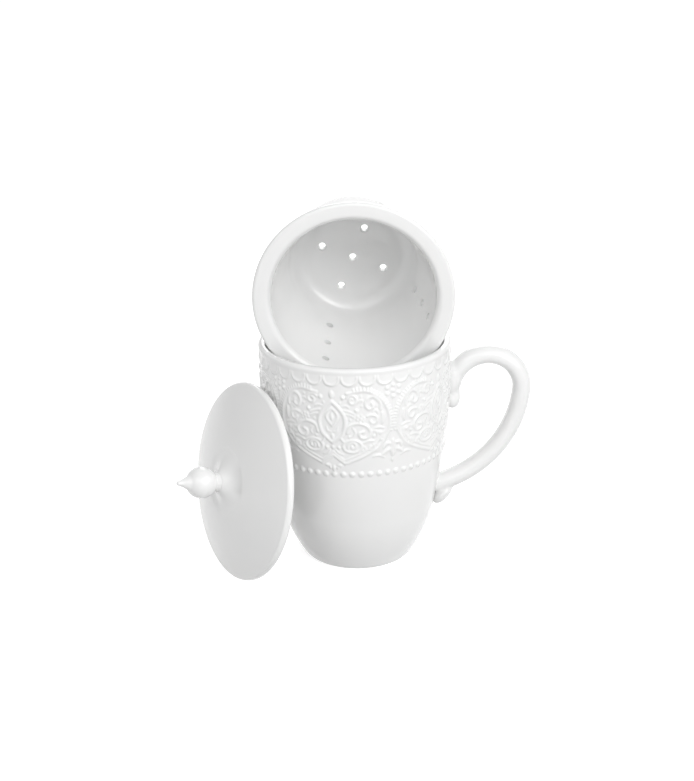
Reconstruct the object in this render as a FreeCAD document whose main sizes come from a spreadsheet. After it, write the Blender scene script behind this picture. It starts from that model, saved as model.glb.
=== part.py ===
import FreeCAD, Part
import math
import os
import Sketcher

# Lidded porcelain tea mug with a lift-out infuser basket and a loose lid, millimetres.
# Frame: +Z up, origin at the centre of the mug's foot, handle towards +X.
# The basket is tipped on its side in the mug's mouth and the lid leans on the mug's wall.

SIZES = {
    # mug body
    "rim_radius": 41.0,
    "mug_height": 99.0,
    "mug_wall": 2.6,
    "foot_radius": 23.6,
    "foot_width": 3.2,
    "foot_recess": 1.6,
    "foot_bevel": 1.2,
    "floor_thickness": 4.6,
    "belly_radius": 34.8,
    "belly_level": 26.7,
    "belly_curve": 68.0,
    "shoulder_level": 78.2,
    "wall_curve": 300.0,
    "inside_corner": 22.0,
    "inside_floor_radius": 16.7,
    "lip_round": 1.1,
    # mug handle
    "bow_stand": 1.6,
    "bow_centre_up": 75.6,
    "bow_radius": 15.0,
    "bow_start": 200.0,
    "bow_end": 5.0,
    "tail_radius": 50.0,
    "tail_sweep": 72.0,
    "strap_thickness": 8.0,
    "strap_width": 9.6,
    "scroll_radius": 4.1,
    "upper_root_width": 10.4,
    "upper_root_length": 16.0,
    "upper_root_rise": 4.4,
    "lower_root_width": 10.8,
    "lower_root_length": 12.6,
    "upper_root_tilt": 8.0,
    "lower_root_tilt": 25.0,
    "root_depth": 8.4,
    "root_reach": 15.0,
    # infuser basket
    "flange_radius": 42.3,
    "flange_thickness": 3.0,
    "flange_round": 1.1,
    "mouth_radius": 34.6,
    "basket_wall": 2.6,
    "basket_depth": 53.0,
    "basket_base": 27.6,
    "basket_floor": 3.0,
    "basket_side_curve": 240.0,
    "basket_corner": 5.5,
    "drain_hole": 3.0,
    "drain_circle": 14.6,
    "side_hole": 3.0,
    "top_hole_level": 11.0,
    "hole_step": 13.1,
    "hole_columns": 4,
    # basket at rest in the mug's mouth
    "basket_forward": 16.4,
    "basket_settle": 0.58,
    "basket_nod": 6.2,
    "basket_spin": 68.2,
    # lid
    "lid_radius": 42.7,
    "lid_edge": 2.8,
    "lid_rise": 12.6,
    "lid_shell": 3.0,
    "shoulder_radius": 15.0,
    "shoulder_rise": 8.6,
    "dome_curve": 150.0,
    "flare_curve": 14.0,
    "neck_radius": 4.2,
    "ring_fit": 1.0,
    "ring_width": 2.4,
    "ring_depth": 3.9,
    "ball_radius": 6.8,
    "ball_level": 20.0,
    "tip_level": 31.6,
    "tip_radius": 1.0,
    "tip_flare": 14.0,
    # lid at rest against the mug
    "lid_bearing": 30.2,
    "lid_lean": 11.6,
    "lid_stand": 12.4,
    "lid_swing": 7.2,
}

doc = FreeCAD.newDocument("tea_mug")
sheet = doc.addObject("Spreadsheet::Sheet", "Sizes")
for row, (alias, value) in enumerate(SIZES.items(), start=1):
    sheet.set("A%d" % row, alias)
    sheet.set("B%d" % row, str(value))
    sheet.setAlias("B%d" % row, alias)
doc.recompute()


def size(text):
    """The number that an expression on the sheet's aliases gives."""
    return float(sheet.evalExpression(text))


def bound(text):
    """The same expression as an object outside the sheet writes it."""
    words = sorted(SIZES, key=len, reverse=True)
    marked = text
    for number, word in enumerate(words):
        marked = marked.replace(word, "<%d>" % number)
    for number, word in enumerate(words):
        marked = marked.replace("<%d>" % number, "Sizes." + word)
    return marked


def new_body(name):
    body = doc.addObject("PartDesign::Body", name)
    body.Label = name
    return body


def origin_item(body, role):
    for item in body.Origin.OriginFeatures:
        if item.Role == role:
            return item
    raise ValueError("no origin item " + role)


def new_sketch(body, name, role):
    sketch = body.newObject("Sketcher::SketchObject", name)
    sketch.AttachmentSupport = (origin_item(body, role), [""])
    sketch.MapMode = "FlatFace"
    return sketch


def bulge_point(start, end, radius, side):
    """The middle of the arc from start to end that lies on the given side of its chord."""
    chord = end.sub(start)
    half = chord.Length / 2
    sagitta = radius - math.sqrt(max(radius ** 2 - half ** 2, 0.0))
    normal = FreeCAD.Vector(-chord.y, chord.x, 0).normalize()
    return start.add(chord.multiply(0.5)).add(normal.multiply(side * sagitta))


def end_at(sketch, geo, point):
    """Which end of a sketch edge, 1 or 2, lies at a point."""
    gaps = [sketch.getPoint(geo, end).distanceToPoint(point) for end in (1, 2)]
    return 1 if gaps[0] <= gaps[1] else 2


def pin_point(sketch, geo, end, across, along):
    """Ties a point's two coordinates to expressions."""
    for kind, axis, text in (("DistanceX", -2, across), ("DistanceY", -1, along)):
        if text == "0":
            sketch.addConstraint(Sketcher.Constraint("PointOnObject", geo, end, axis))
        else:
            index = sketch.addConstraint(Sketcher.Constraint(kind, -1, 1, geo, end, size(text)))
            sketch.setExpression("Constraints[%d]" % index, bound(text))


def closed_outline(sketch, corners):
    """Edges from corner to corner; a corner is (across, along) or (across, along, radius, side),
    where radius and side, +1 left or -1 right, describe the arc that leaves it."""
    points = [FreeCAD.Vector(size(c[0]), size(c[1]), 0) for c in corners]
    edges = []
    for i, corner in enumerate(corners):
        start, end = points[i], points[(i + 1) % len(points)]
        if len(corner) == 4:
            middle = bulge_point(start, end, size(corner[2]), corner[3])
            shape = Part.Arc(start, middle, end)
        else:
            shape = Part.LineSegment(start, end)
        edges.append(sketch.addGeometry(shape, False))
    for i, geo in enumerate(edges):
        after = edges[(i + 1) % len(edges)]
        meet = points[(i + 1) % len(points)]
        sketch.addConstraint(Sketcher.Constraint(
            "Coincident", geo, end_at(sketch, geo, meet), after, end_at(sketch, after, meet)))
    for i, corner in enumerate(corners):
        pin_point(sketch, edges[i], end_at(sketch, edges[i], points[i]), corner[0], corner[1])
        if len(corner) == 4:
            index = sketch.addConstraint(
                Sketcher.Constraint("Radius", edges[i], size(corner[2])))
            sketch.setExpression("Constraints[%d]" % index, bound(corner[2]))


def revolve(body, name, sketch, kind="PartDesign::Revolution"):
    feature = body.newObject(kind, name)
    feature.Profile = sketch
    feature.ReferenceAxis = (sketch, ["V_Axis"])
    feature.Angle = 360.0
    sketch.Visibility = False
    return feature


def circle_edges(shape, spots):
    """Names of the circular edges about Z that pass through (radius, level) spots."""
    names = []
    for number, edge in enumerate(shape.Edges, start=1):
        curve = edge.Curve
        if not isinstance(curve, Part.Circle):
            continue
        for radius, level in spots:
            if abs(curve.Radius - radius) < 0.01 and abs(curve.Center.z - level) < 0.01:
                names.append("Edge%d" % number)
    return names


def round_edges(body, name, base, spots, radius_text):
    doc.recompute()
    fillet = body.newObject("PartDesign::Fillet", name)
    fillet.Base = (base, circle_edges(base.Shape, spots))
    fillet.Radius = size(radius_text)
    fillet.setExpression("Radius", bound(radius_text))
    return fillet


def circle_hole(sketch, across, along, diameter):
    centre = FreeCAD.Vector(size(across), size(along), 0)
    geo = sketch.addGeometry(Part.Circle(centre, FreeCAD.Vector(0, 0, 1), size(diameter) / 2), False)
    pin_point(sketch, geo, 3, across, along)
    index = sketch.addConstraint(Sketcher.Constraint("Diameter", geo, size(diameter)))
    sketch.setExpression("Constraints[%d]" % index, bound(diameter))


def cut_holes(body, name, sketch, length_text):
    """A pocket that must remove material; it is turned round when it points away."""
    doc.recompute()
    before = body.Tip.Shape.Volume
    pocket = body.newObject("PartDesign::Pocket", name)
    pocket.Profile = sketch
    pocket.Type = "Length"
    pocket.Length = size(length_text)
    pocket.setExpression("Length", bound(length_text))
    sketch.Visibility = False
    doc.recompute()
    if before - pocket.Shape.Volume < 1.0:
        pocket.Reversed = True
        doc.recompute()
    return pocket


def pattern_round(body, name, feature, count_alias):
    pattern = body.newObject("PartDesign::PolarPattern", name)
    pattern.Originals = [feature]
    pattern.Axis = (origin_item(body, "Z_Axis"), [""])
    pattern.Angle = 360.0
    pattern.Occurrences = int(size(count_alias))
    pattern.setExpression("Occurrences", bound(count_alias))
    body.Tip = pattern
    return pattern


# The mug's outer wall, from the foot's outer edge up to the lip
WALL_OUTSIDE = [
    ("foot_radius", "0"),
    ("foot_radius + foot_bevel", "foot_bevel", "belly_curve", -1),
    ("belly_radius", "belly_level", "wall_curve", -1),
    ("rim_radius", "shoulder_level"),
    ("rim_radius", "mug_height"),
]


def build_mug_body():
    body = new_body("mug_body")
    section = new_sketch(body, "mug_section", "XZ_Plane")
    closed_outline(section, WALL_OUTSIDE + [
        ("rim_radius - mug_wall", "mug_height"),
        ("rim_radius - mug_wall", "shoulder_level", "wall_curve - mug_wall", 1),
        ("belly_radius - mug_wall", "belly_level", "inside_corner", 1),
        ("inside_floor_radius", "floor_thickness"),
        ("0", "floor_thickness"),
        ("0", "foot_recess"),
        ("foot_radius - foot_width", "foot_recess"),
        ("foot_radius - foot_width", "0"),
    ])
    wall = revolve(body, "mug_wall_turned", section)
    lip = [(size("rim_radius"), size("mug_height")),
           (size("rim_radius - mug_wall"), size("mug_height"))]
    round_edges(body, "mug_lip", wall, lip, "lip_round")
    return body


def mug_filled():
    """The space inside the mug's outer wall, as a solid."""
    points = [FreeCAD.Vector(size(c[0]), 0, size(c[1]))
              for c in WALL_OUTSIDE]
    edges = []
    for i in range(len(points) - 1):
        corner = WALL_OUTSIDE[i]
        start, end = points[i], points[i + 1]
        if len(corner) == 4:
            flat = [FreeCAD.Vector(p.x, p.z, 0) for p in (start, end)]
            middle = bulge_point(flat[0], flat[1], size(corner[2]), corner[3])
            edges.append(Part.Arc(start, FreeCAD.Vector(middle.x, 0, middle.y), end).toShape())
        else:
            edges.append(Part.LineSegment(start, end).toShape())
    low, high = FreeCAD.Vector(0, 0, points[0].z), FreeCAD.Vector(0, 0, points[-1].z)
    edges.append(Part.LineSegment(points[-1], high).toShape())
    edges.append(Part.LineSegment(high, low).toShape())
    edges.append(Part.LineSegment(low, points[0]).toShape())
    face = Part.Face(Part.Wire(edges))
    return face.revolve(FreeCAD.Vector(0, 0, 0), FreeCAD.Vector(0, 0, 1), 360)


def oval_lump(centre, depth, width, length, tilt):
    """An egg-shaped lump in the XZ plane with its long axis tilted from the vertical."""
    ball = Part.makeSphere(1.0)
    stretch = FreeCAD.Matrix()
    stretch.scale(depth / 2, width / 2, length / 2)
    lump = ball.transformGeometry(stretch)
    lump.Placement = FreeCAD.Placement(centre, FreeCAD.Rotation(FreeCAD.Vector(0, 1, 0), tilt))
    return lump


def build_mug_handle():
    """An ear-shaped strap: an upper bow that curls in at the wall, and a long tail below it.
    Both ends run on into the wall's place and are trimmed to it."""
    bow, tail = size("bow_radius"), size("tail_radius")
    bow_end, bow_start = size("bow_end"), size("bow_start")
    tail_end = bow_end + size("tail_sweep")
    wall = size("rim_radius")
    bow_centre = FreeCAD.Vector(wall + size("bow_stand") + bow, 0, size("bow_centre_up"))

    def on_circle(centre, radius, degrees):
        turn = math.radians(degrees)
        return centre.add(FreeCAD.Vector(radius * math.cos(turn), 0, radius * math.sin(turn)))

    tail_centre = on_circle(bow_centre, bow - tail, -bow_end)
    upper = Part.Arc(on_circle(bow_centre, bow, bow_start),
                     on_circle(bow_centre, bow, (bow_start - bow_end) / 2),
                     on_circle(bow_centre, bow, -bow_end))
    lower = Part.Arc(on_circle(bow_centre, bow, -bow_end),
                     on_circle(tail_centre, tail, -(bow_end + tail_end) / 2),
                     on_circle(tail_centre, tail, -tail_end))
    foot = on_circle(tail_centre, tail, -tail_end)
    onward = foot.sub(tail_centre).cross(FreeCAD.Vector(0, -1, 0)).normalize()
    reach = FreeCAD.Vector(onward).multiply(size("root_reach"))
    straight = Part.LineSegment(foot, foot.add(reach))
    route = Part.Wire([upper.toShape(), lower.toShape(), straight.toShape()])

    start = on_circle(bow_centre, bow, bow_start)
    radial = start.sub(bow_centre).normalize()
    across = FreeCAD.Vector(0, 1, 0)
    oval = Part.Ellipse(start.add(FreeCAD.Vector(across).multiply(size("strap_width") / 2)),
                        start.add(FreeCAD.Vector(radial).multiply(size("strap_thickness") / 2)),
                        start)
    strap = route.makePipeShell([Part.Wire([oval.toShape()])], True, False)
    scroll = Part.makeSphere(size("scroll_radius"), start)
    upper_root = oval_lump(FreeCAD.Vector(wall + size("bow_stand"), 0,
                                          size("bow_centre_up") + size("upper_root_rise")),
                           size("root_depth"), size("upper_root_width"),
                           size("upper_root_length"), size("upper_root_tilt"))
    low_wall = foot.add(FreeCAD.Vector(onward).multiply(-size("root_depth") / 2))
    lower_root = oval_lump(low_wall.add(FreeCAD.Vector(0, 0, -size("strap_thickness") / 2)),
                           size("root_depth"), size("lower_root_width"),
                           size("lower_root_length"), size("lower_root_tilt"))
    handle = strap.fuse([scroll, upper_root, lower_root]).cut(mug_filled())
    pieces = sorted(handle.Solids, key=lambda solid: solid.Volume)
    feature = doc.addObject("Part::Feature", "mug_handle")
    feature.Label = "mug_handle"
    feature.Shape = pieces[-1]
    return feature


def basket_rise():
    """How far the flange's centre stands above the rim once the flange is wedged in the mouth."""
    spare = size("flange_radius") ** 2 - size("rim_radius - mug_wall") ** 2
    nod = math.radians(size("basket_nod"))
    upright = math.sqrt(max(spare + size("basket_forward") ** 2, 0.0))
    forward = size("basket_forward") - upright * math.tan(nod)
    return math.sqrt(max(spare + forward ** 2, 0.0)) * math.cos(nod) - size("basket_settle")


def build_infuser_basket():
    """Made upright with its flange's top at level 0, then tipped over into its resting place."""
    body = new_body("infuser_basket")
    section = new_sketch(body, "basket_section", "XZ_Plane")
    neck = "mouth_radius + basket_wall"
    closed_outline(section, [
        ("mouth_radius", "0"),
        ("mouth_radius", "-flange_thickness", "basket_side_curve - basket_wall", 1),
        ("basket_base - basket_floor / 2", "basket_floor - basket_depth"),
        ("0", "basket_floor - basket_depth"),
        ("0", "-basket_depth"),
        ("basket_base", "-basket_depth", "basket_side_curve", -1),
        (neck, "-flange_thickness"),
        ("flange_radius", "-flange_thickness"),
        ("flange_radius", "0"),
    ])
    shell = revolve(body, "basket_turned", section)
    base_edge = [(size("basket_base"), -size("basket_depth"))]
    rounded = round_edges(body, "basket_corner_round", shell, base_edge, "basket_corner")
    rim = [(size("flange_radius"), 0.0), (size("flange_radius"), -size("flange_thickness"))]
    rounded = round_edges(body, "basket_flange_round", rounded, rim, "flange_round")

    middle = new_sketch(body, "middle_hole", "XY_Plane")
    circle_hole(middle, "0", "0", "drain_hole")
    cut_holes(body, "middle_hole_cut", middle, "basket_depth + basket_floor")
    drain = new_sketch(body, "drain_hole_one", "XY_Plane")
    circle_hole(drain, "drain_circle", "0", "drain_hole")
    cut = cut_holes(body, "drain_hole_cut", drain, "basket_depth + basket_floor")
    pattern_round(body, "drain_holes", cut, "hole_columns")
    for level in range(3):
        side = new_sketch(body, "side_hole_%d" % (level + 1), "YZ_Plane")
        circle_hole(side, "0", "-top_hole_level - %d * hole_step" % level, "side_hole")
        cut = cut_holes(body, "side_hole_cut_%d" % (level + 1), side, "flange_radius")
        pattern_round(body, "side_holes_%d" % (level + 1), cut, "hole_columns")
    tilt = FreeCAD.Rotation(FreeCAD.Vector(1, 0, 0), 90 + size("basket_nod"))
    place = FreeCAD.Vector(0, -size("basket_forward"), size("mug_height") + basket_rise())
    spin = FreeCAD.Rotation(FreeCAD.Vector(0, 0, 1), size("basket_spin"))
    body.Placement = FreeCAD.Placement(place, tilt.multiply(spin))
    return body


def lid_rest():
    """The lid's resting place: knob outwards, its lowest point on the table."""
    bearing, lean = math.radians(size("lid_bearing")), math.radians(size("lid_lean"))
    out, swing = size("rim_radius") + size("lid_stand"), math.radians(size("lid_swing"))
    edge_round = size("flange_round")
    drop = ((size("lid_radius") - edge_round) * math.cos(lean)
            + (size("lid_edge") / 2 - edge_round) * math.sin(lean) + edge_round)
    face = FreeCAD.Vector(-math.cos(bearing) * math.cos(lean),
                          -math.sin(bearing) * math.cos(lean), math.sin(lean))
    place = FreeCAD.Vector(-out * math.cos(bearing - swing), -out * math.sin(bearing - swing), drop)
    return FreeCAD.Placement(place, FreeCAD.Rotation(FreeCAD.Vector(0, 0, 1), face))


def build_lid_disc():
    """Made flat with the middle of its edge at level 0, then leaned against the mug."""
    body = new_body("lid_disc")
    section = new_sketch(body, "lid_section", "XZ_Plane")
    ring = "mouth_radius - ring_fit"
    closed_outline(section, [
        ("0", "shoulder_rise - lid_shell"),
        (ring + " - ring_width", "-lid_edge / 2"),
        (ring + " - ring_width", "-lid_edge / 2 - ring_depth"),
        (ring, "-lid_edge / 2 - ring_depth"),
        (ring, "-lid_edge / 2"),
        ("lid_radius", "-lid_edge / 2"),
        ("lid_radius", "lid_edge / 2", "dome_curve", -1),
        ("shoulder_radius", "shoulder_rise", "flare_curve", 1),
        ("neck_radius", "lid_rise"),
        ("0", "lid_rise"),
    ])
    dome = revolve(body, "lid_turned", section)
    edge = [(size("lid_radius"), size("lid_edge / 2")), (size("lid_radius"), -size("lid_edge / 2"))]
    round_edges(body, "lid_edge_round", dome, edge, "flange_round")
    body.Placement = lid_rest()
    return body


def build_lid_knob():
    body = new_body("lid_knob")
    section = new_sketch(body, "knob_section", "XZ_Plane")
    waist = "sqrt(ball_radius ^ 2 - neck_radius ^ 2)"
    peak = "ball_level + sqrt(ball_radius ^ 2 - (ball_radius / 2) ^ 2)"
    closed_outline(section, [
        ("0", "lid_rise"),
        ("neck_radius", "lid_rise"),
        ("neck_radius", "ball_level - " + waist, "ball_radius", -1),
        ("ball_radius", "ball_level", "ball_radius", -1),
        ("ball_radius / 2", peak, "tip_flare", 1),
        ("tip_radius", "tip_level - tip_radius", "tip_radius", -1),
        ("0", "tip_level"),
    ])
    revolve(body, "knob_turned", section)
    body.Placement = lid_rest()
    return body


PIECES = [build_mug_body(), build_mug_handle(), build_infuser_basket(),
          build_lid_disc(), build_lid_knob()]
doc.recompute()

for item in doc.Objects:
    if "Invalid" in item.State or "Error" in item.State:
        raise RuntimeError("failed: " + item.Name)
for piece in PIECES:
    if piece.Shape.isNull() or not piece.Shape.isValid() or len(piece.Shape.Solids) != 1:
        raise RuntimeError("bad shape: " + piece.Label)

os.makedirs("parts", exist_ok=True)
for piece in PIECES:
    piece.Shape.exportStep("parts/" + piece.Label + ".step")
    box = piece.Shape.optimalBoundingBox(False, False)
    print("%-16s volume %9.1f  X %6.1f %6.1f  Y %6.1f %6.1f  Z %6.1f %6.1f" % (
        piece.Label, piece.Shape.Volume, box.XMin, box.XMax, box.YMin, box.YMax, box.ZMin, box.ZMax))
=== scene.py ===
import math
import bpy
import bmesh
import numpy as np
from mathutils import Matrix, Vector


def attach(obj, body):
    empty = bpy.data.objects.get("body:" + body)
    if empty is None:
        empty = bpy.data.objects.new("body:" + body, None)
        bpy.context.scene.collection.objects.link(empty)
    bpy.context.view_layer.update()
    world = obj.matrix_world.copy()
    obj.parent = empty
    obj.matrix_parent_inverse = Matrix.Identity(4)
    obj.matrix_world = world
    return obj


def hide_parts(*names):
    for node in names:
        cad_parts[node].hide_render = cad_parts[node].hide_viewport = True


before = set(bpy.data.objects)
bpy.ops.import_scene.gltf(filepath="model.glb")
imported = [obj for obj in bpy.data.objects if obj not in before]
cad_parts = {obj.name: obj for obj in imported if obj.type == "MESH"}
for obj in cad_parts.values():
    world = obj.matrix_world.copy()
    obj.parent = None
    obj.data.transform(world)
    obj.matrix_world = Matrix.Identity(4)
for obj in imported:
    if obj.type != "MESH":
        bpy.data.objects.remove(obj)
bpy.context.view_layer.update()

MM = 0.001

# Mug sizes in millimetres
RIM_RADIUS = 41.0
MUG_HEIGHT = 99.0
MUG_WALL = 2.6
FOOT_RADIUS = 23.6
FOOT_WIDTH = 3.2
FOOT_RECESS = 1.6
FOOT_BEVEL = 1.2
FOOT_ROUND = 0.5
RECESS_ROUND = 0.6
BARE_FOOT_HEIGHT = 0.35
FLOOR_THICKNESS = 4.6
FLOOR_THICKNESSES_SET_IN = 1.5
FLOOR_RADIUS = FOOT_RADIUS - FLOOR_THICKNESS * FLOOR_THICKNESSES_SET_IN
BELLY_RADIUS = 34.8
BELLY_LEVEL = 26.7
BELLY_CURVE = 68.0
SHOULDER_LEVEL = 78.2
WALL_CURVE = 300.0
INSIDE_CORNER = 22.0
LIP_ROUND = 1.25

# Relief sizes in millimetres
REPEATS = 5
REPEAT_WIDTH = 2 * math.pi * RIM_RADIUS / REPEATS
HALF_REPEAT = REPEAT_WIDTH / 2
FIRST_MEDALLION = math.radians(-14.0)
RELIEF_LOW = 48.5
RELIEF_SCALE = 0.9
SOFTENING_PASSES = 3

# Levels and radii of a line that parts the face with the relief from the rest of the mug: it runs
# inside the wall's thickness beside the relief, and swings out past the plain wall below it
PARTING_LEVELS = [0, RELIEF_LOW, 80, MUG_HEIGHT]
PARTING_RADII = [60, 37.6, 39.8, 39.75]

# Ridges and leaves: how far a ridge spreads, how round its section is and how a leaf narrows
RIDGE_SPREAD = 1.2
RIDGE_POWER = 0.75
LEAF_TIP = 0.25
LEAF_MARGIN = 0.12

# Half of the medallion's edge: distance from its middle line, and level
MEDALLION_SIDE = [(6.4, 88.6), (13.2, 89.7), (17.5, 88.1), (20.8, 85.3), (23.0, 81.5), (23.9, 77.9),
                  (24.1, 74.2), (23.2, 69.8), (19.3, 64.2), (13.1, 60.4), (8.6, 58.4), (5.2, 56.9)]
MEDALLION_LOWER_SIDE = MEDALLION_SIDE[7:]
MEDALLION_NOTCH = [(5.2, 56.9), (2.6, 58.9), (0.0, 61.0)]

# Inner line of the medallion's edge: drawn in by a share and a distance, and raised
LINE_DRAWN_IN = 0.94
LINE_SET_IN = 0.4
LINE_RAISED = 1.35

# Short strokes across the medallion's edge: where along it, and how far out
STROKES_FROM = 3.0
STROKES_TO = 31.0
STROKE_PITCH = 1.3
STROKE_START = 0.5
STROKE_END = 1.3
LOOK_AHEAD = 0.4

# Thin ground under the lace
GROUND_RISE = 0.12
GROUND_SLOPE = 0.8
GROUND_TOP = 93.4
GROUND_LOW_BETWEEN = 60.0

# Hanging lobes and the plain band over them
LOBES_PER_REPEAT = 7
LOBE_LEVEL = 95.3
LOBE_RADIUS = 3.15
LOBE_MARGIN = 0.35
LOBE_SLOPE = 0.5
LOBE_RISE = 0.40
LOBE_EDGE_WIDTH = 0.75
LOBE_EDGE_RISE = 0.75
LOBE_FADE_LEVEL = 97.0
LOBE_FADE = 1.3
BAND_LEVEL = 95.4
BAND_SLOPE = 1.7
BAND_RISE = 0.62

# Row of beads under the lace, on the wall's own radius there
BEADS_PER_REPEAT = 13
BEAD_LEVEL = 51.7
BEAD_RADIUS = 1.25
BEAD_RISE = 0.75
BEAD_WALL_RADIUS = 39.0

# Handle sizes in millimetres, angles in degrees; girths are shares at shares of the way along it
BOW_STAND = 1.6
BOW_RADIUS = 15.0
BOW_CENTRE = (RIM_RADIUS + BOW_STAND + BOW_RADIUS, 75.6)
BOW_START = 200.0
BOW_END = 5.0
TAIL_RADIUS = 50.0
TAIL_SWEEP = 72.0
STRAP_THICKNESS = 8.0
STRAP_WIDTH = 9.6
GIRTH_PLACES = [0, 0.05, 0.10, 0.16, 1]
GIRTHS = [0.74, 0.76, 0.94, 1.02, 1.0]
SCROLL_DEPTH = 6.6
SCROLL_WIDTH = 8.4
SCROLL_LENGTH = 9.0
SCROLL_SET_IN = 1.1
UPPER_ROOT_RISE = 4.4
UPPER_ROOT_DEPTH = 8.4
UPPER_ROOT_WIDTH = 10.4
UPPER_ROOT_LENGTH = 16.0
UPPER_ROOT_TILT = 8.0
LOWER_ROOT_CENTRE = (38.3, 25.8)
LOWER_ROOT_DEPTH = 6.0
LOWER_ROOT_WIDTH = 10.0
LOWER_ROOT_LENGTH = 13.2
LOWER_ROOT_TILT = 37.0
HANDLE_VOXEL = 0.45
HANDLE_SMOOTHING = 0.5
HANDLE_SMOOTHING_PASSES = 14

# Infuser sizes in millimetres, angles in degrees
FLANGE_RADIUS = 42.3
FLANGE_THICKNESS = 3.0
FLANGE_ROUND = 1.35
NECK_ROUND = 1.0
MOUTH_RADIUS = 34.6
MOUTH_ROUND = 2.7
BASKET_WALL = 2.6
BASKET_DEPTH = 53.0
BASKET_BASE = 27.6
BASKET_FLOOR = 3.0
BASKET_SIDE_CURVE = 240.0
BASKET_CORNER = 5.2
BASE_SET_IN = 1.5
BASE_CURVE = 9.5
BASE_CURVE_CLEAR = 1.1
DRAIN_HOLE = 3.2
DRAIN_CIRCLE = 14.6
HOLE_FLARE = 0.5
HOLE_REACH = 12.0
HOLE_COLUMNS = 4
HOLE_ROWS = 3
HOLE_STEP = 13.1
TOP_HOLE_LEVEL = 11.0
BASKET_FORWARD = 16.4
BASKET_SETTLE = 0.58
BASKET_NOD = 6.2
BASKET_SPIN = 68.2

# Lid sizes in millimetres, angles in degrees
LID_RADIUS = 42.7
LID_EDGE = 2.8
LID_RISE = 12.6
LID_SHELL = 3.0
LID_ROUND = 1.1
LID_TOP_ROUND = 1.9
SHOULDER_RADIUS = 15.0
SHOULDER_RISE = 8.6
DOME_CURVE = 150.0
FLARE_CURVE = 14.0
RING_CLEARANCE = 1.0
RING_RADIUS = MOUTH_RADIUS - RING_CLEARANCE
RING_WIDTH = 2.4
RING_DEPTH = 3.9
RING_INNER_ROOT_ROUND = 0.8
RING_EDGE_ROUND = 0.7
RING_OUTER_ROOT_ROUND = 0.6
LID_BEARING = 30.2
LID_LEAN = 11.6
LID_STAND = 12.4
LID_OUT = RIM_RADIUS + LID_STAND
LID_SWING = 7.2

# Knob sizes in millimetres
NECK_RADIUS = 4.2
BALL_RADIUS = 6.8
BALL_LEVEL = 20.0
SPIRE_RADIUS = BALL_RADIUS / 2
SPIRE_CURVE = 14.0
TIP_LEVEL = 31.6
TIP_ROUND = 1.0

# Fineness of the meshes: points on an arc, points on each span of a curve and steps of a spiral
CORNER_POINTS = 9
WALL_POINTS = 24
FLOOR_POINTS = 16
HANDLE_POINTS = 60
BASKET_POINTS = 20
DOME_POINTS = 30
FLARE_POINTS = 16
BALL_POINTS = 14
SPIRE_POINTS = 12
TIP_POINTS = 8
SPAN_POINTS = 8
SPIRAL_STEPS = 14

# Fineness of the meshes: sides round a piece
MUG_SIDES = REPEATS * 256
STRAP_SIDES = 40
PAD_SIDES = 32
PAD_RINGS = 20
BASKET_SIDES = 192
HOLE_SIDES = 32
LID_SIDES = 256
KNOB_SIDES = 96

# Fineness of the meshes: longest steps along a section, in millimetres
MUG_STEP = 1.2
BASKET_STEP = 2.0
LID_STEP = 1.5
KNOB_STEP = 0.6

# Relief steps, from a margin below it and as deep inside the rim's radius as its face lies; then
# the rows of its height, in millimetres, and its columns over half a repeat
RELIEF_STEP = 0.24
RELIEF_MARGIN = 3.0
RELIEF_FACE_DEPTH = 2.2
RELIEF_ROW = 0.22
RELIEF_COLUMNS = 145

# Degrees: an edge where two faces turn by more than this stays crisp
CRISP_EDGE = {"mug_body": 70, "mug_handle": 80, "infuser_basket": 42, "lid_disc": 60, "lid_knob": 60}

# Glaze: noise sizes are per metre, the bump's depth is in metres
GLAZE_CLAY = (0.90, 0.90, 0.895, 1)
GLAZE_POOLED = (0.87, 0.875, 0.875, 1)
GLAZE_POOLED_SHARE = 0.5
GLAZE_POLISH = 0.14
GLAZE_POLISH_DRIFT = 0.05
GLAZE_IOR = 1.5
GLAZE_COAT = 0.35
GLAZE_COAT_ROUGHNESS = 0.05
GLAZE_WAVE_STRENGTH = 0.12
GLAZE_WAVE_DEPTH = 0.0006
DRIFT_SCALE = 28.0
DRIFT_DETAIL = 2.0
DRIFT_LOW = 0.35
DRIFT_HIGH = 0.7
POLISH_SCALE = 160.0
POLISH_DETAIL = 3.0

# Bare clay of the foot
CLAY_DARK = (0.74, 0.73, 0.70, 1)
CLAY_LIGHT = (0.84, 0.83, 0.81, 1)
CLAY_GRAIN = 1800.0
CLAY_ROUGHNESS = 0.75
CLAY_GRAIN_DEPTH = 0.0001

# Stage and light: places in metres, lamp powers in watts
ROOM_LIGHT = 0.40
FLOOR_REACH = 40.0
FLOOR_GAP = 0.0001
FLOOR_TONE = 0.5
FLOOR_ROUGHNESS = 0.9
FLOOR_LIFT = 0.8
SOFTBOX_SIZE = 0.7
LIT_POINT = (0, 0, 0.08)
SOFTBOXES = [
    ("key_right", (0.65, -0.80, 0.50), 3.8),
    ("key_front_high", (0.35, -0.90, 0.75), 2.8),
    ("fill_front_left", (-0.35, -0.90, 0.70), 1.7),
    ("fill_left", (-0.80, -0.50, 0.35), 0.8),
    ("fill_right_high", (0.75, -0.45, 0.75), 1.3),
    ("fill_back", (0.10, 0.95, 0.60), 3.0),
]

# Camera: places in metres, its rise in degrees and roll in radians, sensor and lens in millimetres
CAMERA_DISTANCE = 0.619
CAMERA_RISE = 22.427
CAMERA_PIVOT_LEVEL = 0.05
CAMERA_AIM = (-0.0037009, 0, 0.0748966)
CAMERA_ROLL = -0.0223
CAMERA_SENSOR = 36.0
CAMERA_LENS = 64.23


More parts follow.
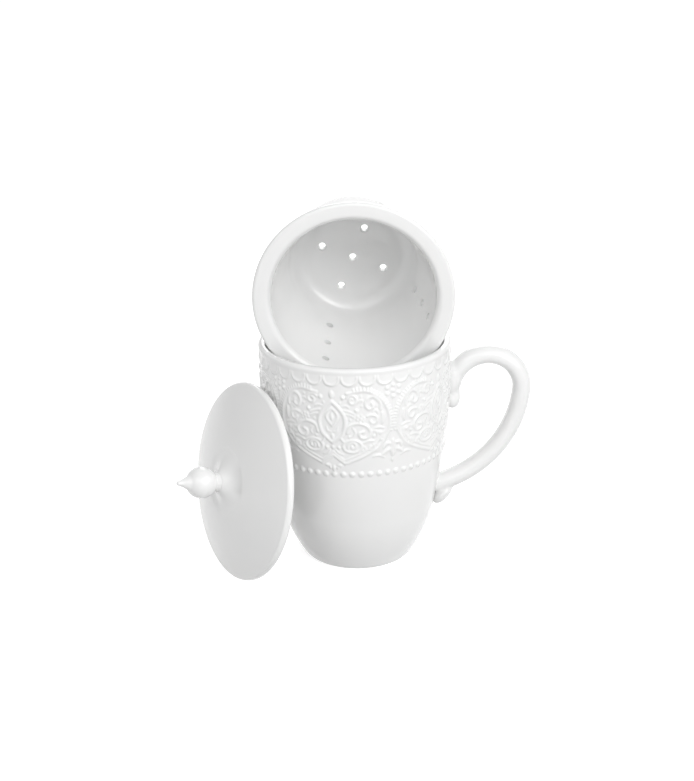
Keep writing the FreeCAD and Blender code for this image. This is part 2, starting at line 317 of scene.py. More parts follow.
def arc_points(start, end, radius, side, count):
    """Points on the arc from start to end that bulges left, +1, or right, -1, of the way along."""
    a, b = np.array(start, float), np.array(end, float)
    chord = b - a
    half = np.linalg.norm(chord) / 2
    rise = math.sqrt(max(radius ** 2 - half ** 2, 0.0))
    normal = np.array([-chord[1], chord[0]]) / (2 * half)
    centre = (a + b) / 2 - normal * side * rise
    first = math.atan2(*(a - centre)[::-1])
    last = math.atan2(*(b - centre)[::-1])
    turn = (last - first + math.pi) % (2 * math.pi) - math.pi
    angles = first + turn * np.linspace(0, 1, count)
    return [tuple(centre + radius * np.array([math.cos(t), math.sin(t)])) for t in angles]


def rounded(points, corners):
    """Replaces listed corner indices of a path by small arcs of the given radius."""
    result = []
    for i, point in enumerate(points):
        if i not in corners:
            result.append(point)
            continue
        p = np.array(point, float)
        before = np.array(points[i - 1], float) - p
        after = np.array(points[i + 1], float) - p
        before /= np.linalg.norm(before)
        after /= np.linalg.norm(after)
        half = math.acos(max(-1.0, min(1.0, float(before @ after)))) / 2
        cut = corners[i] / math.tan(half)
        side = 1 if before[0] * after[1] - before[1] * after[0] > 0 else -1
        result += arc_points(p + before * cut, p + after * cut, corners[i], side, CORNER_POINTS)
    return result


def resample(points, step):
    """Adds points so that no step along the path is longer than step."""
    result = [points[0]]
    for a, b in zip(points, points[1:]):
        pieces = max(1, math.ceil(math.dist(a, b) / step))
        for i in range(1, pieces + 1):
            result.append(tuple(np.array(a) + (np.array(b) - np.array(a)) * i / pieces))
    return result


def smooth_path(points):
    """A Catmull-Rom curve through given points."""
    p = np.array(points, float)
    p = np.vstack([2 * p[0] - p[1], p, 2 * p[-1] - p[-2]])
    result = []
    for i in range(1, len(p) - 2):
        for t in np.linspace(0, 1, SPAN_POINTS, endpoint=False):
            result.append(0.5 * (2 * p[i] + (p[i + 1] - p[i - 1]) * t
                                 + (2 * p[i - 1] - 5 * p[i] + 4 * p[i + 1] - p[i + 2]) * t ** 2
                                 + (3 * p[i] - p[i - 1] - 3 * p[i + 1] + p[i + 2]) * t ** 3))
    result.append(p[-2])
    return np.array(result)


def turned_mesh(profile, sides, radius_at=None):
    """A surface of revolution about Z from (radius, level) points; ends on the axis are closed."""
    count = len(profile)
    angles = np.linspace(0, 2 * math.pi, sides, endpoint=False)
    radii = np.array([p[0] for p in profile])[:, None] * np.ones(sides)[None, :]
    levels = np.array([p[1] for p in profile])[:, None] * np.ones(sides)[None, :]
    if radius_at is not None:
        radii = radius_at(radii, levels, angles[None, :])
    x = radii * np.sin(angles)[None, :]
    y = -radii * np.cos(angles)[None, :]
    verts = np.stack([x, y, levels], 2).reshape(-1, 3)
    i, j = np.meshgrid(np.arange(count - 1), np.arange(sides), indexing="ij")
    after = (j + 1) % sides
    quads = np.stack([i * sides + j, i * sides + after,
                      (i + 1) * sides + after, (i + 1) * sides + j], 2).reshape(-1, 4)
    mesh = bpy.data.meshes.new("turned")
    mesh.from_pydata((verts * MM).tolist(), [], quads.tolist())
    shape = bmesh.new()
    shape.from_mesh(mesh)
    bmesh.ops.remove_doubles(shape, verts=shape.verts, dist=1e-7)
    bmesh.ops.recalc_face_normals(shape, faces=shape.faces)
    shape.to_mesh(mesh)
    shape.free()
    return mesh


def put_in_scene(name, data):
    """Makes an object of a mesh, lamp or camera and links it to the scene."""
    thing = bpy.data.objects.new(name, data)
    bpy.context.scene.collection.objects.link(thing)
    return thing


def applied(piece):
    """The piece's mesh with its modifiers applied; the piece and its raw mesh are taken away."""
    bpy.context.view_layer.update()
    graph = bpy.context.evaluated_depsgraph_get()
    mesh = bpy.data.meshes.new_from_object(piece.evaluated_get(graph))
    raw = piece.data
    bpy.data.objects.remove(piece)
    bpy.data.meshes.remove(raw)
    return mesh


def add_piece(node, mesh, body, glaze):
    """Puts a porcelain mesh in the place of a CAD node, on the body that carries it."""
    name = node + "_porcelain"
    mesh.name = name
    mesh.shade_smooth()
    mesh.set_sharp_from_angle(angle=math.radians(CRISP_EDGE[node]))
    piece = put_in_scene(name, mesh)
    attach(piece, body)
    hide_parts(node)
    mesh.materials.clear()
    mesh.materials.append(glazed_porcelain(glaze))


class Relief:
    """Raised ornament on half of one repeat, mirrored and repeated round the wall.

    U is the distance from the medallion's middle line, Z the level, both in millimetres.
    """

    def __init__(self):
        self.levels = np.arange(RELIEF_LOW, MUG_HEIGHT + RELIEF_ROW, RELIEF_ROW)
        self.U, self.Z = np.meshgrid(np.linspace(0, HALF_REPEAT, RELIEF_COLUMNS), self.levels)
        self.height = np.zeros_like(self.U)

    def raise_to(self, shape):
        self.height = np.maximum(self.height, shape)

    def bead(self, u, z, across, along=None, rise=0.7):
        """An oval bead; across and along are half its width and half its height."""
        along = along or across
        d2 = ((self.U - u) / across) ** 2 + ((self.Z - z) / along) ** 2
        self.raise_to(rise * np.sqrt(np.clip(1 - d2, 0, None)))

    def ridge(self, points, width, rise=0.55, taper=False, curved=True):
        """A rounded ridge along points, narrowed to both ends where it is a leaf."""
        path = smooth_path(points) if curved else np.array(points, float)
        best = np.zeros_like(self.height)
        width = width * RIDGE_SPREAD
        count = len(path) - 1
        for i, (a, b) in enumerate(zip(path, path[1:])):
            along = b - a
            length2 = max(float(along @ along), 1e-9)
            t = np.clip(((self.U - a[0]) * along[0] + (self.Z - a[1]) * along[1]) / length2, 0, 1)
            d = np.hypot(self.U - a[0] - t * along[0], self.Z - a[1] - t * along[1])
            size = width
            if taper:
                share = LEAF_MARGIN + (1 - 2 * LEAF_MARGIN) * (i + 0.5) / count
                size = width * (LEAF_TIP + (1 - LEAF_TIP) * math.sin(math.pi * share))
            best = np.maximum(best, rise * (1 - np.clip(d / size, 0, 1) ** 2) ** RIDGE_POWER)
        self.raise_to(best)

    def spiral(self, u, z, outer, inner, start, turn, width=0.5, rise=0.55):
        """A ridge that winds from the outer to the inner radius; start and turn are in degrees."""
        points = []
        for k in range(SPIRAL_STEPS + 1):
            share = k / SPIRAL_STEPS
            radius = outer + (inner - outer) * share
            angle = math.radians(start + turn * share)
            points.append((u + radius * math.cos(angle), z + radius * math.sin(angle)))
        self.ridge(points, width, rise, curved=False)

    def soften(self):
        """Rounds the ornament as a coat of glaze does; the mirror lines stay smooth."""
        for _ in range(SOFTENING_PASSES):
            for axis in (0, 1):
                pad = [(1, 1) if axis == a else (0, 0) for a in (0, 1)]
                wide = np.pad(self.height, pad, mode="reflect")
                low, high = ((wide[:-2], wide[2:]) if axis == 0 else (wide[:, :-2], wide[:, 2:]))
                self.height = (low + 2 * self.height + high) / 4

    def height_at(self, angle, level):
        """The ornament's height at angles round the mug and levels on it."""
        turned = (angle - FIRST_MEDALLION) * RIM_RADIUS
        folded = np.abs((turned + HALF_REPEAT) % REPEAT_WIDTH - HALF_REPEAT)
        column = folded / HALF_REPEAT * (RELIEF_COLUMNS - 1)
        pitch = self.levels[1] - self.levels[0]
        row = np.clip((level - self.levels[0]) / pitch, 0, len(self.levels) - 1.001)
        c0 = np.clip(column.astype(int), 0, RELIEF_COLUMNS - 2)
        r0 = row.astype(int)
        fc, fr = column - c0, row - r0
        h = self.height
        return ((h[r0, c0] * (1 - fc) + h[r0, c0 + 1] * fc) * (1 - fr)
                + (h[r0 + 1, c0] * (1 - fc) + h[r0 + 1, c0 + 1] * fc) * fr)


def medallion_edge(relief):
    """A rope edge: an outline, an inner line and short strokes set across the outline."""
    relief.ridge(MEDALLION_SIDE, 0.6, 0.6)
    relief.ridge(MEDALLION_NOTCH, 0.6, 0.6, curved=False)
    inner = [(u * LINE_DRAWN_IN - LINE_SET_IN, z + LINE_RAISED) for u, z in MEDALLION_LOWER_SIDE]
    relief.ridge(inner, 0.38, 0.4)
    relief.ridge([(4.6, 58.6), (0.0, 62.6)], 0.38, 0.4, curved=False)
    side = smooth_path(MEDALLION_SIDE)
    gaps = np.hypot(*np.diff(side, axis=0).T)
    run = np.concatenate([[0], np.cumsum(gaps)])
    for reach in np.arange(STROKES_FROM, STROKES_TO, STROKE_PITCH):
        u = np.interp(reach, run, side[:, 0])
        z = np.interp(reach, run, side[:, 1])
        ahead_u = np.interp(reach + LOOK_AHEAD, run, side[:, 0]) - u
        ahead_z = np.interp(reach + LOOK_AHEAD, run, side[:, 1]) - z
        size = math.hypot(ahead_u, ahead_z)
        out = (-ahead_z / size, ahead_u / size)
        stroke = [(u + out[0] * far, z + out[1] * far) for far in (STROKE_START, STROKE_END)]
        relief.ridge(stroke, 0.42, 0.6, curved=False)


def middle_leaf(relief):
    """The pointed leaf on the medallion's middle line, with the buds above and below it."""
    relief.ridge([(0, 85.0), (2.9, 82.2), (5.0, 79.0), (5.5, 75.4), (4.2, 70.8), (0, 66.8)], 0.75, 0.65)
    relief.ridge([(0, 82.0), (1.9, 80.0), (2.2, 77.6), (0, 74.4)], 0.5, 0.5)
    relief.bead(0, 78.2, 0.65, 1.7, 0.6)
    relief.bead(0, 69.4, 0.8, 1.5, 0.55)
    relief.ridge([(2.4, 73.6), (2.0, 72.0), (0.6, 71.6)], 0.4, 0.35, taper=True)
    relief.bead(0, 88.0, 1.05, 1.7)
    relief.bead(4.7, 86.8, 0.95)
    relief.bead(2.6, 64.4, 0.85, rise=0.55)
    relief.bead(0, 64.6, 0.8, 1.0, 0.5)


def upper_scrolls(relief):
    """The spiral and the hooked scroll in the medallion's upper half, with two stems."""
    relief.spiral(8.5, 85.6, 2.5, 0.7, 150, -420, 0.55)
    relief.ridge([(20.1, 81.4), (19.8, 84.4), (17.2, 87.0), (14.7, 86.0), (13.9, 83.5), (15.4, 81.6),
                  (17.2, 82.6), (16.7, 84.0)], 0.62, 0.65)
    relief.bead(10.2, 81.1, 0.85)
    relief.ridge([(5.0, 81.2), (7.4, 80.6), (9.3, 79.6)], 0.4, 0.45)
    relief.ridge([(6.2, 79.4), (7.9, 79.0), (9.2, 78.1)], 0.4, 0.45)


def rosette(relief):
    """A flower of beads round one, with a hook and a leaf beside it."""
    u, z = 11.9, 77.5
    petals = 6
    for k in range(petals):
        angle = math.radians(360 / petals * k + 15)
        relief.bead(u + 1.45 * math.cos(angle), z + 1.35 * math.sin(angle), 0.66, rise=0.5)
    relief.bead(u, z, 0.7, rise=0.6)
    relief.ridge([(14.5, 78.6), (16.6, 79.0), (18.6, 77.9), (18.4, 75.8), (16.7, 75.2), (15.9, 76.4)], 0.5)
    relief.ridge([(21.0, 79.6), (21.2, 77.4), (20.9, 75.0)], 0.85, 0.6, taper=True)


def lower_scrolls(relief):
    """The broad scroll under the flower, the ringed spiral below it and their leaves."""
    relief.ridge([(6.3, 71.2), (7.2, 74.2), (10.6, 75.4), (14.2, 74.2), (15.9, 71.6), (14.6, 69.0),
                  (12.2, 68.9), (11.3, 70.8), (12.9, 71.6)], 0.6, 0.65)
    relief.ridge([(17.6, 73.2), (19.6, 73.4), (21.8, 72.6)], 0.45, 0.45, taper=True)
    relief.bead(19.9, 70.9, 0.95)
    relief.bead(7.1, 69.4, 0.65, rise=0.5)
    relief.bead(17.4, 69.4, 0.65, rise=0.5)
    oval = [(8.3 + 4.0 * math.cos(math.radians(t)), 65.0 + 2.8 * math.sin(math.radians(t)))
            for t in range(0, 361, 20)]
    relief.ridge(oval, 0.55, 0.55, curved=False)
    relief.spiral(8.5, 65.0, 2.2, 0.5, 200, -400, 0.5, 0.5)
    relief.ridge([(5.3, 66.6), (3.6, 68.4), (3.4, 70.0)], 0.5, 0.5, taper=True)
    relief.ridge([(12.9, 66.4), (15.0, 67.4), (17.4, 67.2)], 0.6, 0.5, taper=True)
    relief.spiral(16.2, 64.4, 1.6, 0.4, 60, -380, 0.45, 0.5)
    relief.bead(20.4, 67.8, 0.75, rise=0.5)
    relief.bead(12.8, 62.9, 0.6, rise=0.45)


def seeds_and_small_leaves(relief):
    """Small beads and leaves that fill the gaps between the scrolls."""
    seeds = [(3.4, 84.4), (12.2, 87.2), (18.6, 82.8), (22.3, 83.2), (12.4, 83.0), (7.6, 77.0),
             (19.2, 80.2), (16.2, 74.0), (9.2, 72.6), (20.9, 69.0), (6.0, 67.6), (18.8, 65.6)]
    for u, z in seeds:
        relief.bead(u, z, 0.55, rise=0.4)
    leaves = [[(4.2, 83.0), (6.0, 83.2), (7.2, 82.4)], [(10.9, 84.6), (12.0, 85.6), (13.0, 85.2)],
              [(16.8, 80.4), (18.4, 81.0), (19.0, 79.4)], [(8.4, 73.4), (9.6, 71.4), (9.0, 70.0)],
              [(16.8, 71.6), (18.4, 71.6), (18.8, 69.6)], [(12.8, 65.2), (13.8, 63.8), (13.4, 62.2)],
              [(1.2, 63.4), (2.6, 61.8), (4.4, 61.2)], [(18.2, 62.4), (19.8, 63.2), (21.0, 65.2)]]
    for leaf in leaves:
        relief.ridge(leaf, 0.42, 0.42, taper=True)


def between_medallions(relief):
    """The drop under a medallion, and the beads and the sprig between two of them."""
    for u, z, across, along in ((0, 54.6, 0.8, 1.5), (2.7, 56.0, 1.35, 0.75), (1.5, 54.9, 0.6, 0.6)):
        relief.bead(u, z, across, along, 0.6)
    for u, z, size in ((23.1, 90.2, 1.05), (HALF_REPEAT, 91.0, 0.9), (23.2, 87.5, 1.0),
                       (HALF_REPEAT, 88.6, 1.0), (HALF_REPEAT, 86.2, 1.0)):
        relief.bead(u, z, size)
    relief.ridge([(HALF_REPEAT, 66.6), (HALF_REPEAT, 63.2), (HALF_REPEAT, 59.8)], 1.25, 0.7, taper=True)
    relief.ridge([(24.6, 65.4), (22.6, 65.2), (21.6, 63.4)], 0.8, 0.6, taper=True)
    relief.ridge([(24.8, 62.8), (22.8, 61.9), (21.2, 60.6)], 0.8, 0.6, taper=True)
    relief.ridge([(22.0, 59.2), (19.4, 60.4), (17.0, 60.0)], 0.5, 0.5, taper=True)
    relief.bead(HALF_REPEAT, 57.7, 0.65, 1.2, 0.6)
    relief.ridge([(HALF_REPEAT, 84.6), (HALF_REPEAT, 79.0), (HALF_REPEAT, 72.0)], 0.5, 0.25, taper=True)


def bead_row(relief):
    """Round beads under the lace, widened because the wall is narrower there than at the rim."""
    pitch = REPEAT_WIDTH / BEADS_PER_REPEAT
    for k in range(BEADS_PER_REPEAT // 2 + 2):
        across = BEAD_RADIUS * RIM_RADIUS / BEAD_WALL_RADIUS
        relief.bead(k * pitch, BEAD_LEVEL, across, BEAD_RADIUS, BEAD_RISE)


def lobe_band(relief):
    """Overlapping hanging tabs under a plain rim band."""
    pitch = REPEAT_WIDTH / LOBES_PER_REPEAT
    fade = np.clip((LOBE_FADE_LEVEL - relief.Z) / LOBE_FADE, 0, 1)
    for k in range(LOBES_PER_REPEAT // 2 + 2):
        reach = np.hypot(relief.U - k * pitch, np.minimum(relief.Z - LOBE_LEVEL, 0))
        inside = np.clip((LOBE_RADIUS + LOBE_MARGIN - reach) / LOBE_SLOPE, 0, 1)
        relief.raise_to(LOBE_RISE * inside)
        edge = np.clip(np.abs(reach - LOBE_RADIUS) / LOBE_EDGE_WIDTH, 0, 1)
        relief.raise_to((LOBE_EDGE_RISE * (1 - edge ** 2) ** RIDGE_POWER) * fade)
    band = np.clip((relief.Z - BAND_LEVEL) / BAND_SLOPE, 0, 1)
    relief.raise_to(BAND_RISE * band * band * (3 - 2 * band))


def lace_ground(relief):
    """The lace stands on a thin raised ground that ends at its lower edge."""
    notch = np.array(MEDALLION_NOTCH)[::-1]
    line = np.vstack([notch[:-1], smooth_path(MEDALLION_LOWER_SIDE)[::-1]])
    low = np.interp(relief.U, line[:, 0], line[:, 1], right=GROUND_LOW_BETWEEN)
    above = np.clip((relief.Z - low) / GROUND_SLOPE, 0, 1)
    below = np.clip((GROUND_TOP - relief.Z) / GROUND_SLOPE, 0, 1)
    relief.height = relief.height + GROUND_RISE * (above * below)


def make_relief():
    """The whole ornament, softened as under glaze."""
    relief = Relief()
    medallion_edge(relief)
    middle_leaf(relief)
    upper_scrolls(relief)
    rosette(relief)
    lower_scrolls(relief)
    seeds_and_small_leaves(relief)
    between_medallions(relief)
    bead_row(relief)
    lobe_band(relief)
    lace_ground(relief)
    relief.soften()
    return relief


def mug_profile():
    """The mug's section, from the middle of the foot up the outside and down the inside."""
    inner_foot = FOOT_RADIUS - FOOT_WIDTH
    foot = rounded([(0, FOOT_RECESS), (inner_foot, FOOT_RECESS), (inner_foot, 0),
                    (FOOT_RADIUS, 0), (FOOT_RADIUS + FOOT_BEVEL, FOOT_BEVEL)],
                   {1: RECESS_ROUND, 2: FOOT_ROUND, 3: FOOT_ROUND})
    belly = arc_points((FOOT_RADIUS + FOOT_BEVEL, FOOT_BEVEL), (BELLY_RADIUS, BELLY_LEVEL),
                       BELLY_CURVE, -1, WALL_POINTS)
    wall = arc_points((BELLY_RADIUS, BELLY_LEVEL), (RIM_RADIUS, SHOULDER_LEVEL),
                      WALL_CURVE, -1, WALL_POINTS)
    lip = rounded([(RIM_RADIUS, SHOULDER_LEVEL), (RIM_RADIUS, MUG_HEIGHT),
                   (RIM_RADIUS - MUG_WALL, MUG_HEIGHT), (RIM_RADIUS - MUG_WALL, SHOULDER_LEVEL)],
                  {1: LIP_ROUND, 2: LIP_ROUND})
    inner_wall = arc_points((RIM_RADIUS - MUG_WALL, SHOULDER_LEVEL),
                            (BELLY_RADIUS - MUG_WALL, BELLY_LEVEL),
                            WALL_CURVE - MUG_WALL, 1, WALL_POINTS)
    inner_floor = arc_points((BELLY_RADIUS - MUG_WALL, BELLY_LEVEL), (FLOOR_RADIUS, FLOOR_THICKNESS),
                             INSIDE_CORNER, 1, FLOOR_POINTS)
    path = foot + belly[1:] + wall[1:] + lip[1:-1] + inner_wall + inner_floor[1:] + [(0, FLOOR_THICKNESS)]
    fine = []
    for a, b in zip(path, path[1:]):
        carries_relief = a[1] > RELIEF_LOW - RELIEF_MARGIN and b[0] > RIM_RADIUS - RELIEF_FACE_DEPTH
        fine += resample([a, b], RELIEF_STEP if carries_relief else MUG_STEP)[:-1]
    return fine + [path[-1]]


def make_mug():
    """The turned cup with its relief raised on the outer face, and a bare clay foot ring."""
    relief = make_relief()

    def radius_at(radii, levels, angles):
        outside = radii > np.interp(levels, PARTING_LEVELS, PARTING_RADII)
        lip = np.sqrt(np.clip((MUG_HEIGHT - levels) / LIP_ROUND, 0, 1))
        height = relief.height_at(angles + 0 * levels, levels)
        rise = RELIEF_SCALE * height * np.clip(levels - RELIEF_LOW, 0, 1)
        return np.where(outside, radii + rise * lip, radii)

    mesh = turned_mesh(mug_profile(), MUG_SIDES, radius_at)
    add_piece("mug_body", mesh, "mug", "mug_glaze")
    mesh.materials.append(unglazed_foot())
    for face in mesh.polygons:
        if face.center.z < BARE_FOOT_HEIGHT * MM:
            face.material_index = 1


def handle_route():
    """Points along the handle's middle line in the XZ plane, from the scroll down."""
    centre = np.array(BOW_CENTRE)
    path = []
    for angle in np.linspace(BOW_START, -BOW_END, HANDLE_POINTS):
        t = math.radians(angle)
        path.append(centre + BOW_RADIUS * np.array([math.cos(t), math.sin(t)]))
    t = math.radians(-BOW_END)
    tail = centre + (BOW_RADIUS - TAIL_RADIUS) * np.array([math.cos(t), math.sin(t)])
    for angle in np.linspace(-BOW_END, -BOW_END - TAIL_SWEEP, HANDLE_POINTS)[1:]:
        t = math.radians(angle)
        path.append(tail + TAIL_RADIUS * np.array([math.cos(t), math.sin(t)]))
    return np.array(path)


def tube(points, thick, wide):
    """A closed tube in the XZ plane with an oval section that changes along it."""
    ways = np.gradient(points, axis=0)
    ways /= np.linalg.norm(ways, axis=1)[:, None]
    verts, faces = [], []
    for (x, z), (dx, dz), t, w in zip(points, ways, thick, wide):
        for k in range(STRAP_SIDES):
            a = 2 * math.pi * k / STRAP_SIDES
            off = math.cos(a) * t / 2
            verts.append((x - dz * off, math.sin(a) * w / 2, z + dx * off))
    for i in range(len(points) - 1):
        low, high = i * STRAP_SIDES, (i + 1) * STRAP_SIDES
        for k in range(STRAP_SIDES):
            n = (k + 1) % STRAP_SIDES
            faces.append((low + k, low + n, high + n, high + k))
    faces.append(tuple(range(STRAP_SIDES))[::-1])
    faces.append(tuple((len(points) - 1) * STRAP_SIDES + k for k in range(STRAP_SIDES)))
    mesh = bpy.data.meshes.new("tube")
    mesh.from_pydata([(x * MM, y * MM, z * MM) for x, y, z in verts], [], faces)
    return mesh


def pad(centre, depth, width, length, turn):
    """An oval lump of clay in the XZ plane, turned about Y."""
    shape = bmesh.new()
    bmesh.ops.create_uvsphere(shape, u_segments=PAD_SIDES, v_segments=PAD_RINGS, radius=1.0)
    place = (Matrix.Translation(Vector((centre[0], 0, centre[1])) * MM)
             @ Matrix.Rotation(math.radians(turn), 4, "Y")
             @ Matrix.Diagonal((depth / 2 * MM, width / 2 * MM, length / 2 * MM, 1)))
    bmesh.ops.transform(shape, matrix=place, verts=shape.verts)
    mesh = bpy.data.meshes.new("pad")
    shape.to_mesh(mesh)
    shape.free()
    return mesh


def make_handle():
    """The strap, the scroll at its upper end and the two root pads, melted into one casting."""
    route = handle_route()
    girth = np.interp(np.linspace(0, 1, len(route)), GIRTH_PLACES, GIRTHS)
    scroll = route[0] - np.array([SCROLL_SET_IN, 0])
    upper_root = (RIM_RADIUS + BOW_STAND, BOW_CENTRE[1] + UPPER_ROOT_RISE)
    parts = [tube(route, STRAP_THICKNESS * girth, STRAP_WIDTH * girth),
             pad(scroll, SCROLL_DEPTH, SCROLL_WIDTH, SCROLL_LENGTH, 0),
             pad(upper_root, UPPER_ROOT_DEPTH, UPPER_ROOT_WIDTH, UPPER_ROOT_LENGTH, UPPER_ROOT_TILT),
             pad(LOWER_ROOT_CENTRE, LOWER_ROOT_DEPTH, LOWER_ROOT_WIDTH, LOWER_ROOT_LENGTH,
                 LOWER_ROOT_TILT)]
    whole = bmesh.new()
    for part in parts:
        whole.from_mesh(part)
        bpy.data.meshes.remove(part)
    mesh = bpy.data.meshes.new("raw_handle")
    whole.to_mesh(mesh)
    whole.free()
    raw = put_in_scene("raw_handle", mesh)
    remesh = raw.modifiers.new("join", "REMESH")
    remesh.mode = "VOXEL"
    remesh.voxel_size = HANDLE_VOXEL * MM
    soften = raw.modifiers.new("soften", "SMOOTH")
    soften.factor = HANDLE_SMOOTHING
    soften.iterations = HANDLE_SMOOTHING_PASSES
    add_piece("mug_handle", applied(raw), "mug", "handle_glaze")


def basket_matrix():
    """The flange wedged in the mug's mouth, with the basket's body on the back of the rim."""
    spare = FLANGE_RADIUS ** 2 - (RIM_RADIUS - MUG_WALL) ** 2
    nod = math.radians(BASKET_NOD)
    forward = BASKET_FORWARD - math.sqrt(spare + BASKET_FORWARD ** 2) * math.tan(nod)
    rise = math.sqrt(spare + forward ** 2) * math.cos(nod) - BASKET_SETTLE
    return (Matrix.Translation(Vector((0, -BASKET_FORWARD, MUG_HEIGHT + rise)) * MM)
            @ Matrix.Rotation(math.radians(90 + BASKET_NOD), 4, "X")
            @ Matrix.Rotation(math.radians(BASKET_SPIN), 4, "Z"))


def cut_with(piece, plugs):
    """Cuts turned plugs out of a piece; each is a list of (radius, level) rings and its place."""
    shape = bmesh.new()
    turns = np.linspace(0, 2 * math.pi, HOLE_SIDES, endpoint=False)
    for rings, place in plugs:
        loops = []
        for radius, level in rings:
            spots = [Vector((radius * math.cos(t), radius * math.sin(t), level)) * MM for t in turns]
            loops.append([shape.verts.new(place @ spot) for spot in spots])
        shape.faces.new(loops[0][::-1])
        shape.faces.new(loops[-1])
        for low, high in zip(loops, loops[1:]):
            for i in range(HOLE_SIDES):
                after = (i + 1) % HOLE_SIDES
                shape.faces.new((low[i], low[after], high[after], high[i]))
    mesh = bpy.data.meshes.new("plugs")
    shape.to_mesh(mesh)
    shape.free()
    tool = put_in_scene("plugs", mesh)
    cut = piece.modifiers.new("holes", "BOOLEAN")
    cut.operation = "DIFFERENCE"
    cut.solver = "EXACT"
    cut.object = tool
    result = applied(piece)
    bpy.data.objects.remove(tool)
    bpy.data.meshes.remove(mesh)
    return result


def basket_profile():
    """The basket's section, from the flange's top down the inside and back up the outside."""
    floor = BASKET_FLOOR - BASKET_DEPTH
    neck = MOUTH_RADIUS + BASKET_WALL
    inside = arc_points((MOUTH_RADIUS, -FLANGE_THICKNESS), (BASKET_BASE - BASE_SET_IN, floor),
                        BASKET_SIDE_CURVE - BASKET_WALL, 1, BASKET_POINTS)
    outside = arc_points((BASKET_BASE, -BASKET_DEPTH), (neck, -FLANGE_THICKNESS),
                         BASKET_SIDE_CURVE, -1, BASKET_POINTS)
    corner = inside[-1]
    clear = BASE_CURVE * BASE_CURVE_CLEAR
    inside = [p for p in inside if p is corner or math.dist(p, corner) > clear]
    top = [((FLANGE_RADIUS + MOUTH_RADIUS) / 2, 0)]
    path = top + [(MOUTH_RADIUS, 0)] + inside + [(0, floor), (0, -BASKET_DEPTH)] + outside
    path += [(FLANGE_RADIUS, -FLANGE_THICKNESS), (FLANGE_RADIUS, 0)] + top
    base_inside = path.index(corner)
    base_outside = path.index(outside[0])
    under_flange = path.index(outside[-1])
    return rounded(path, {1: MOUTH_ROUND, base_inside: BASE_CURVE, base_outside: BASKET_CORNER,
                          under_flange: NECK_ROUND, under_flange + 1: FLANGE_ROUND,
                          under_flange + 2: FLANGE_ROUND})


def drain_plugs():
    """Plugs for the flared holes in the base, one in a ring of others, and for the side holes."""
    hole = DRAIN_HOLE / 2
    flared = [(hole, -HOLE_REACH), (hole, -HOLE_FLARE), (hole + 2 * HOLE_FLARE, HOLE_FLARE)]
    straight = [(hole, -HOLE_REACH), (hole, HOLE_REACH)]
    floor = Matrix.Translation((0, 0, (BASKET_FLOOR - BASKET_DEPTH) * MM))
    turns = [Matrix.Rotation(2 * math.pi * column / HOLE_COLUMNS, 4, "Z")
             for column in range(HOLE_COLUMNS)]
    plugs = [(flared, floor)]
    plugs += [(flared, turn @ Matrix.Translation((DRAIN_CIRCLE * MM, 0, 0)) @ floor) for turn in turns]
    for turn in turns:
        for row in range(HOLE_ROWS):
            depth = -TOP_HOLE_LEVEL - row * HOLE_STEP
            side = (Matrix.Translation((MOUTH_RADIUS * MM, 0, depth * MM))
                    @ Matrix.Rotation(math.pi / 2, 4, "Y"))
            plugs.append((straight, turn @ side))
    return plugs


def make_basket():
    """The turned basket, drilled and then tipped into the mug's mouth."""
    raw = put_in_scene("raw_basket", turned_mesh(resample(basket_profile(), BASKET_STEP), BASKET_SIDES))
    holed = cut_with(raw, drain_plugs())
    holed.transform(basket_matrix())
    add_piece("infuser_basket", holed, "infuser", "basket_glaze")


def lid_matrix():
    """The lid on its edge beside the mug, leaning back on the mug's wall."""
    bearing, lean = math.radians(LID_BEARING), math.radians(LID_LEAN)
    swing = math.radians(LID_SWING)
    drop = ((LID_RADIUS - LID_ROUND) * math.cos(lean) + (LID_EDGE / 2 - LID_ROUND) * math.sin(lean)
            + LID_ROUND)
    face = Vector((-math.cos(bearing) * math.cos(lean), -math.sin(bearing) * math.cos(lean),
                   math.sin(lean)))
    place = Vector((-LID_OUT * math.cos(bearing - swing), -LID_OUT * math.sin(bearing - swing), drop))
    tilt = Vector((0, 0, 1)).rotation_difference(face).to_matrix().to_4x4()
    return Matrix.Translation(place * MM) @ tilt


def make_lid():
    """The domed disc with its locating ring below and the flare that carries the knob."""
    half = LID_EDGE / 2
    under = SHOULDER_RISE - LID_SHELL
    dome = arc_points((LID_RADIUS, half), (SHOULDER_RADIUS, SHOULDER_RISE), DOME_CURVE, -1, DOME_POINTS)
    flare = arc_points((SHOULDER_RADIUS, SHOULDER_RISE), (NECK_RADIUS, LID_RISE),
                       FLARE_CURVE, 1, FLARE_POINTS)
    path = [(0, under), (RING_RADIUS - RING_WIDTH, -half), (RING_RADIUS - RING_WIDTH, -half - RING_DEPTH),
            (RING_RADIUS, -half - RING_DEPTH), (RING_RADIUS, -half), (LID_RADIUS, -half)]
    path += dome + flare[1:] + [(0, LID_RISE)]
    path = rounded(path, {1: RING_INNER_ROOT_ROUND, 2: RING_EDGE_ROUND, 3: RING_EDGE_ROUND,
                          4: RING_OUTER_ROOT_ROUND, 5: LID_ROUND, 6: LID_TOP_ROUND})
    mesh = turned_mesh(resample(path, LID_STEP), LID_SIDES)
    mesh.transform(lid_matrix())
    add_piece("lid_disc", mesh, "lid", "lid_glaze")


